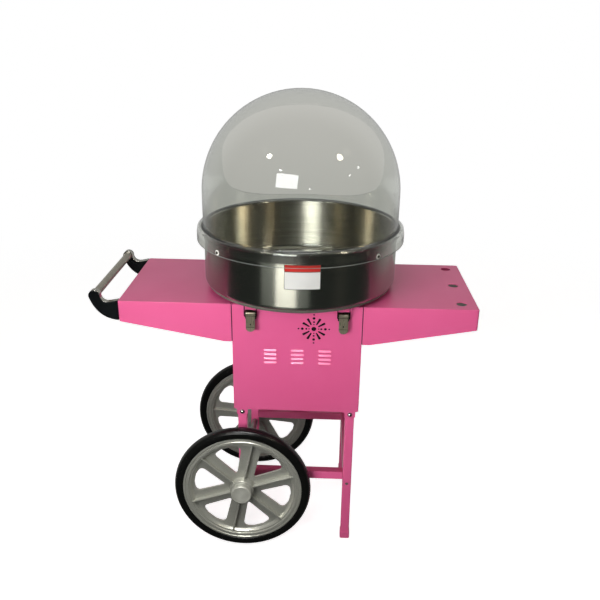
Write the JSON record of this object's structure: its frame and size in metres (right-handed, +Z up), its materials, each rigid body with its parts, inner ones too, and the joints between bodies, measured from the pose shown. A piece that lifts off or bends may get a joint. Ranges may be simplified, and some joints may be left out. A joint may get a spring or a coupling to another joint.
{
  "type": "candy floss machine cart",
  "caption": "Electric candy floss machine: steel bowl with clear dome and spinner head on a vented cabinet, carried by a push cart with side shelves, spoked wheels and a handle.",
  "frame": {"origin": "on the floor, under the middle of the machine's overall length and depth", "axes": "+Z up; +X along the cart from the push handle and wheels to the shelf with the cone holes; +Y towards the operator's side with the drawer and switches"},
  "size_m": [1.0069, 0.558, 1.2593],
  "materials": {
    "pink_paint": "glossy powder coat",
    "bowl_steel": "spun and brushed",
    "spinner_steel": "machined",
    "clear_acrylic": "polished clear",
    "zinc_steel": "zinc plated",
    "latch_steel": "nickel plated pressing",
    "dark_steel": "dark wire and plate",
    "chrome": "bright",
    "black_plastic": "moulded satin",
    "cast_alloy": "silver painted casting",
    "tyre_rubber": "smooth solid rubber",
    "seat_rubber": "moulded",
    "motor_paint": "semi matt enamel",
    "brush_brass": "stamped",
    "panel_paint": "fine textured",
    "meter_white": "moulded",
    "green_plastic": "moulded, translucent",
    "red_plastic": "moulded, translucent"
  },
  "bodies": {
    "cart": {"cabinet_shell": "pink_paint", "front_panel": "pink_paint", "cabinet_top": "pink_paint", "cabinet_floor": "pink_paint", "left_shelf": "pink_paint", "right_shelf": "pink_paint", "leg_front_left": "pink_paint", "leg_front_right": "pink_paint", "leg_rear_left": "pink_paint", "leg_rear_right": "pink_paint", "front_lower_bar": "pink_paint", "rear_lower_bar": "pink_paint", "side_lower_bar": "pink_paint", "axle": "zinc_steel", "front_handle_arm": "chrome", "front_handle_cover": "black_plastic", "rear_handle_arm": "chrome", "rear_handle_cover": "black_plastic", "handle_bar": "chrome", "bowl_seat_ring": "seat_rubber", "bowl": "bowl_steel", "latch_base_front_left": "dark_steel", "latch_base_front_right": "dark_steel", "latch_base_rear_left": "dark_steel", "latch_base_rear_right": "dark_steel", "motor_bracket": "zinc_steel", "motor": "motor_paint", "brush_holder": "brush_brass", "control_panel": "panel_paint", "power_switch_frame": "black_plastic", "heat_switch_frame": "black_plastic", "meter_case": "meter_white", "cord_gland": "black_plastic", "drawer_rail_left": "zinc_steel", "drawer_rail_right": "zinc_steel"},
    "dome": {"dome": "clear_acrylic"},
    "spinner": {"spinner_shaft": "spinner_steel", "spinner_base": "spinner_steel", "heating_ring": "dark_steel", "spinner_band": "spinner_steel", "spinner_cap": "spinner_steel"},
    "front_wheel": {"front_wheel_rim": "cast_alloy", "front_wheel_tyre": "tyre_rubber", "front_hub_cap": "cast_alloy"},
    "rear_wheel": {"rear_wheel_rim": "cast_alloy", "rear_wheel_tyre": "tyre_rubber", "rear_hub_cap": "cast_alloy"},
    "drawer": {"drawer": "pink_paint", "drawer_pull": "chrome"},
    "power_rocker": {"power_rocker": "green_plastic"},
    "heat_rocker": {"heat_rocker": "red_plastic"},
    "meter_needle": {"meter_needle": "black_plastic"},
    "lever_front_left": {"latch_lever_front_left": "latch_steel"},
    "bail_front_left": {"latch_bail_front_left": "dark_steel"},
    "lever_front_right": {"latch_lever_front_right": "latch_steel"},
    "bail_front_right": {"latch_bail_front_right": "dark_steel"},
    "lever_rear_left": {"latch_lever_rear_left": "latch_steel"},
    "bail_rear_left": {"latch_bail_rear_left": "dark_steel"},
    "lever_rear_right": {"latch_lever_rear_right": "latch_steel"},
    "bail_rear_right": {"latch_bail_rear_right": "dark_steel"}
  },
  "joints": [
    {"name": "dome_lift", "type": "slide", "parent": "cart", "child": "dome", "axis": [0, 0, 1], "range_m": [0, 0.3]},
    {"name": "spinner_spin", "type": "hinge", "parent": "cart", "child": "spinner", "pos_m": [0.0375, 0, 0.78], "axis": [0, 0, 1], "continuous": true},
    {"name": "front_wheel_spin", "type": "hinge", "parent": "cart", "child": "front_wheel", "pos_m": [-0.1095, -0.203, 0.192], "axis": [0, 1, 0], "continuous": true},
    {"name": "rear_wheel_spin", "type": "hinge", "parent": "cart", "child": "rear_wheel", "pos_m": [-0.1095, 0.203, 0.192], "axis": [0, 1, 0], "continuous": true},
    {"name": "drawer_slide", "type": "slide", "parent": "cart", "child": "drawer", "axis": [0, 1, 0], "range_m": [0, 0.22]},
    {"name": "power_rocker_tilt", "type": "hinge", "parent": "cart", "child": "power_rocker", "pos_m": [0.0575, 0.1726, 0.669], "axis": [-1, 0, 0], "range_deg": [0, 16]},
    {"name": "heat_rocker_tilt", "type": "hinge", "parent": "cart", "child": "heat_rocker", "pos_m": [0.0995, 0.1726, 0.669], "axis": [-1, 0, 0], "range_deg": [0, 16]},
    {"name": "meter_needle_swing", "type": "hinge", "parent": "cart", "child": "meter_needle", "pos_m": [-0.0145, 0.1773, 0.659], "axis": [0, -1, 0], "range_deg": [0, 90], "stiffness_Nm_per_rad": 0.0002},
    {"name": "lever_front_left_open", "type": "hinge", "parent": "cart", "child": "lever_front_left", "pos_m": [-0.0825, -0.184, 0.717], "axis": [-1, 0, 0], "range_deg": [0, 90]},
    {"name": "bail_front_left_swing", "type": "hinge", "parent": "lever_front_left", "child": "bail_front_left", "pos_m": [-0.0825, -0.184, 0.709], "axis": [-1, 0, 0], "range_deg": [-72, 0]},
    {"name": "lever_front_right_open", "type": "hinge", "parent": "cart", "child": "lever_front_right", "pos_m": [0.1575, -0.184, 0.717], "axis": [-1, 0, 0], "range_deg": [0, 90]},
    {"name": "bail_front_right_swing", "type": "hinge", "parent": "lever_front_right", "child": "bail_front_right", "pos_m": [0.1575, -0.184, 0.709], "axis": [-1, 0, 0], "range_deg": [-72, 0]},
    {"name": "lever_rear_left_open", "type": "hinge", "parent": "cart", "child": "lever_rear_left", "pos_m": [-0.0825, 0.184, 0.717], "axis": [1, 0, 0], "range_deg": [0, 90]},
    {"name": "bail_rear_left_swing", "type": "hinge", "parent": "lever_rear_left", "child": "bail_rear_left", "pos_m": [-0.0825, 0.184, 0.709], "axis": [1, 0, 0], "range_deg": [-72, 0]},
    {"name": "lever_rear_right_open", "type": "hinge", "parent": "cart", "child": "lever_rear_right", "pos_m": [0.1575, 0.184, 0.717], "axis": [1, 0, 0], "range_deg": [0, 90]},
    {"name": "bail_rear_right_swing", "type": "hinge", "parent": "lever_rear_right", "child": "bail_rear_right", "pos_m": [0.1575, 0.184, 0.709], "axis": [1, 0, 0], "range_deg": [-72, 0]}
  ],
  "couplings": [
    {"joint": "bail_front_left_swing", "follows": "lever_front_left_open", "ratio": -0.78},
    {"joint": "bail_front_right_swing", "follows": "lever_front_right_open", "ratio": -0.78},
    {"joint": "bail_rear_left_swing", "follows": "lever_rear_left_open", "ratio": -0.78},
    {"joint": "bail_rear_right_swing", "follows": "lever_rear_right_open", "ratio": -0.78}
  ]
}
